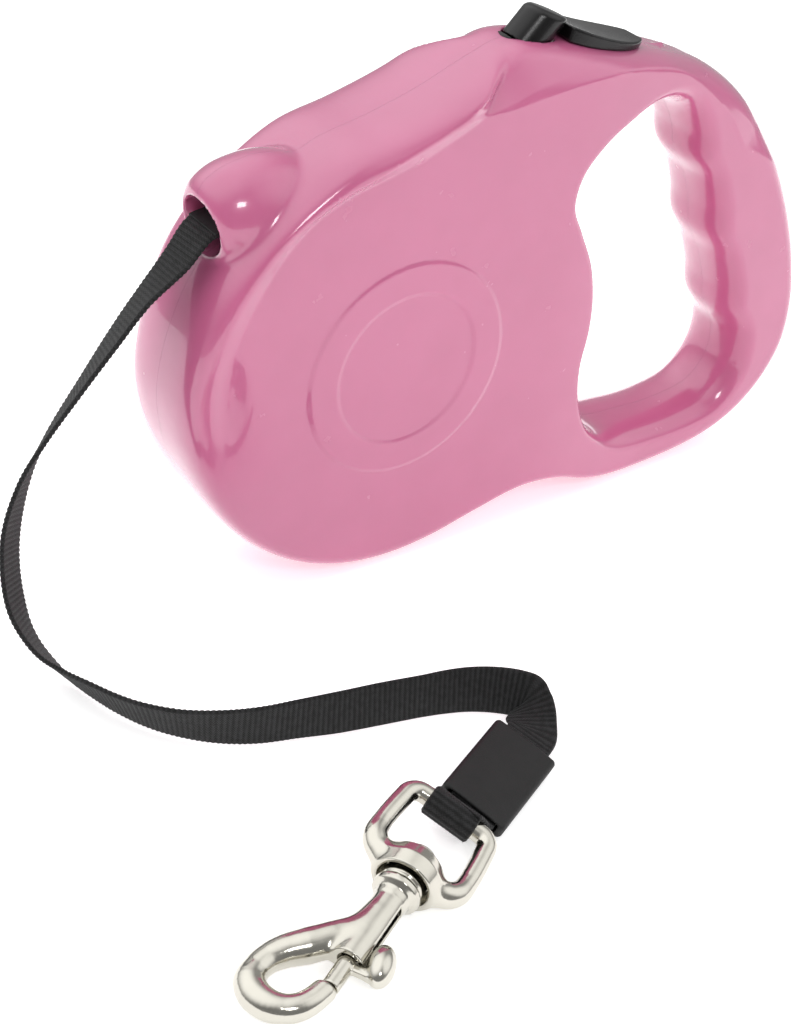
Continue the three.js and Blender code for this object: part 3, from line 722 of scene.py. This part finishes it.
def cut_at_seam(points, faces, sign):
    """One side of a closed shell, its cut closed flat."""
    half = bmesh.new()
    verts = [half.verts.new(p) for p in points]
    for face in faces:
        half.faces.new([verts[i] for i in face])
    bmesh.ops.bisect_plane(half, geom=half.verts[:] + half.edges[:] + half.faces[:], dist=1e-5,
                           plane_co=(0, sign * SEAM, 0), plane_no=(0, -sign, 0),
                           clear_outer=True)
    rim = [vert for vert in half.verts if vert.is_boundary]
    number = {vert: i for i, vert in enumerate(rim)}
    edges = [[number[vert] for vert in edge.verts] for edge in half.edges if edge.is_boundary]
    flat = np.array([(vert.co.x, vert.co.z) for vert in rim])
    made = delaunay_2d_cdt([Vector(p) for p in flat], edges, [], 1, 1e-7)
    triangles = [[made[3][i][0] for i in triangle] for triangle in made[2]]
    starts, ends = flat[np.array(edges)].transpose(1, 0, 2)
    centres = flat[np.array(triangles)].mean(1)
    for triangle, solid in zip(triangles, inside(centres, starts, ends)):
        if solid:
            half.faces.new([rim[i] for i in triangle[::int(sign)]])
    half.verts.index_update()
    cut = [tuple(v.co) for v in half.verts], [[v.index for v in f.verts] for f in half.faces]
    half.free()
    return cut


def add_shells():
    for name, sign, node in (("shell_near", -1, "near_shell"), ("shell_far", 1, "far_shell")):
        def field(x, y, z, sign=sign):
            skin = join(case_edges(x, y, z), bulb(x, y, z), 1.6)
            skin = np.maximum(skin, BASE_Z - z)
            room, pockets = case_room(x, y, z), []
            for at_x, at_z, head in SCREWS:
                r = np.hypot(x - at_x, z - at_z)
                room = np.maximum(room, POST_R - r)
                pockets.append(np.maximum(r - POCKET_R, head - y))
            solid = meet(skin, -room, 0.5)
            return solid if sign < 0 else meet(solid, -np.minimum.reduce(pockets), 0.3)
        low, high = (-54, -16.2, -50), (121.5, 1.0, 65.5)
        if sign > 0:
            low, high = (low[0], -1.0, low[2]), (high[0], 16.2, high[2])
        points, faces = surface_nets(field, low, high, SHELL_STEP)
        points, faces = cut_at_seam(points, faces, sign)
        shell = make_mesh(name, points, faces, "case", PINK, (node,))
        seam = np.abs(np.array(points)[:, 1] - sign * SEAM) < 1e-4
        ends = np.array([edge.vertices[:] for edge in shell.data.edges])
        sharp = shell.data.attributes.new("sharp_edge", "BOOLEAN", "EDGE")
        sharp.data.foreach_set("value", seam[ends].all(1))


def add_button():
    cut = math.radians(22.5)

    def field(x, y, z):
        a, b = button_axes(x, z)
        r = np.hypot(b, y)
        top = (x - 36.6) * math.sin(cut) + (z - 66.8) * math.cos(cut) + 0.016 * (r * r - 20)
        cap = rounded(r - 4.55, top, 1.1, 1.1)
        cap = np.maximum(cap, -3.0 - a)
        flange = np.maximum(r - 5.4, np.abs(a + 4.2) - 0.75)
        stem = np.maximum(r - 2.0, np.abs(a + 14.4) - 12.9)
        pawl = np.maximum(np.maximum(np.abs(b) - 1.5, np.abs(y) - 8), np.abs(a + 26.35) - 1.35)
        return np.minimum(np.minimum(cap, flange), np.minimum(stem, pawl))
    carve("thumb_button", field, (8, -9, 38), (44.5, 9, 74), 0.3, "button_body", BLACK,
          ("brake_button",))


def add_lock():
    slope = math.radians(-15)

    def field(x, y, z):
        dx, dz = x - 39.4, z - 63.2
        u = dx * math.cos(slope) + dz * math.sin(slope)
        w = dz * math.cos(slope) - dx * math.sin(slope)
        t = np.clip(u / 22, 0, 1)
        spread = np.abs(y) / 6.8
        half = 6.5 * np.clip(1 - np.abs((u - 9.8) / 13.4) ** 2.6, 0, 1) ** 0.55 + 0.3
        top = mix(1.3, 0.9, t) - 3.0 * t * (1 - t) + 0.35 * spread ** 2 * (1 - t)
        under = mix(-1.45, -0.55, t) - 0.9 * spread ** 3
        pad = meet(meet(np.abs(y) - half, w - top, 0.5), under - w, 0.5)
        pad = meet(pad, np.abs(u - 11.2) - 11.2, 0.5)
        stem = block(x - 48.9, y, z - 56.6, (2.7, 2.0, 3.6), 0.2)
        foot = block(x - 49.3, y, z - 52.9, (3.7, 4.0, 0.7), 0.2)
        return np.minimum(pad, np.minimum(stem, foot))
    carve("lock_pad", field, (37.5, -8, 51), (64, 8, 69), 0.25, "lock_body", BLACK,
          ("lock_slider",))


def add_coil(name, node, body, slide):
    """The CAD's coil spring, copied in spring steel and riding on its body; the slide is not
    used.
    """
    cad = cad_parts[node]
    coil = bpy.data.objects.new(name, cad.data.copy())
    coil.matrix_world = cad.matrix_world
    coil.data.materials.clear()
    coil.data.materials.append(STEEL)
    bpy.context.scene.collection.objects.link(coil)
    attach(coil, body)
    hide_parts(node)
    slide = Vector(slide).normalized()
    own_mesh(coil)
    return coil


# ---- build --------------------------------------------------------------------------------
SHELL_STEP = 0.5
tape, tape_path = add_tape()
sleeve = add_sleeve()
loop = add_loop()
eye = add_eye()
hook = add_snap_body()
latch = add_snap_bolt()
bolt_coil = add_coil("bolt_coil", "bolt_spring", "hook_body",
                     (0.882, 0.465, 0.0767))
add_shells()
add_button()
add_coil("brake_coil", "brake_spring", "case", (-0.688, 0, -0.725))
add_lock()

CARRIED = {
    "reel": NYLON, "spring_cover": NYLON, "tape_roll": WEBBING, "inner_tape": WEBBING,
    "axle_post": STEEL, "mainspring": STEEL,
    "mouth_guide": BLACK, **{f"case_screw_{i}": STEEL for i in range(1, 6)},
}
for node, material in CARRIED.items():
    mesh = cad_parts[node].data
    mesh.materials.clear()
    mesh.materials.append(material)


# ---- floor and light ----------------------------------------------------------------------
FLOOR_RADIUS = 0.62


def add_floor():
    m = Nodes("floor")
    m.shade(Base_Color=m.colours(m.noise(8), (0.93, 0.93, 0.93), (0.95, 0.95, 0.95)),
            Roughness=0.9, Emission_Color=(1, 1, 1, 1), Emission_Strength=0.5)
    turn = np.linspace(0, 2 * math.pi, 97)[:-1]
    rim = [(FLOOR_RADIUS * math.cos(a), FLOOR_RADIUS * math.sin(a), 0) for a in turn]
    mesh = bpy.data.meshes.new("floor")
    mesh.from_pydata(rim, [], [list(range(len(rim)))])
    mesh.materials.append(m.material)
    floor = bpy.data.objects.new("floor", mesh)
    floor.location = (0, -0.05, -0.0003)
    bpy.context.scene.collection.objects.link(floor)


def add_light(name, at, size, power, target=(0, -0.02, 0.05)):
    """Rectangular lamp pointed at the object."""
    data = bpy.data.lights.new(name, "AREA")
    data.shape = "RECTANGLE"
    data.size, data.size_y = size
    data.energy = power
    lamp = bpy.data.objects.new(name, data)
    lamp.location = at
    lamp.visible_camera = False
    aim = Vector(target) - Vector(at)
    lamp.rotation_euler = aim.to_track_quat("-Z", "Y").to_euler()
    bpy.context.scene.collection.objects.link(lamp)


def add_world():
    """White studio, brighter above and at the right, seen plain white by the camera."""
    world = bpy.data.worlds.new("studio")
    world.use_nodes = True
    tree = world.node_tree
    background = tree.nodes["Background"]

    def node(kind, links, **values):
        made = tree.nodes.new(kind)
        for key, value in values.items():
            setattr(made, key, value)
        for socket, value in links.items():
            if isinstance(value, bpy.types.NodeSocket):
                tree.links.new(value, made.inputs[socket])
            else:
                made.inputs[socket].default_value = value
        return made

    def fade(value, start, end, low=0.0, high=1.0):
        return node("ShaderNodeMapRange", {"Value": value, "From Min": start, "From Max": end,
                                           "To Min": low, "To Max": high},
                    interpolation_type="SMOOTHSTEP").outputs[0]

    direction = tree.nodes.new("ShaderNodeTexCoord").outputs["Generated"]

    def towards(x, y, z):
        length = math.sqrt(x * x + y * y + z * z)
        aim = (x / length, y / length, z / length)
        return node("ShaderNodeVectorMath", {0: direction, 1: aim},
                    operation="DOT_PRODUCT").outputs["Value"]

    def combine(operation, a, b):
        return node("ShaderNodeMath", {0: a, 1: b}, operation=operation).outputs[0]

    front_left = fade(towards(-0.6, -0.8, 0.1), 0.25, 0.75, 0.0, 0.12)
    behind_above = fade(towards(-0.3, 0.42, 0.86), 0.45, 0.95, 0.0, 1.25)
    front_right = fade(towards(0.68, -0.38, 0.62), 0.75, 0.98, 0.0, 1.0)
    light = combine("SUBTRACT", 0.41, front_left)
    light = combine("ADD", combine("ADD", light, behind_above), front_right)
    seen = tree.nodes.new("ShaderNodeLightPath").outputs["Is Camera Ray"]
    strength = node("ShaderNodeMix", {"Factor": seen, "A": light, "B": 1.05}).outputs[0]
    tree.links.new(strength, background.inputs["Strength"])
    background.inputs["Color"].default_value = (1, 1, 1, 1)
    bpy.context.scene.world = world
    bpy.context.scene.view_settings.view_transform = "Standard"


add_floor()
add_world()
add_light("softbox", (-0.34, -0.86, 0.86), (0.30, 0.20), 2.7)
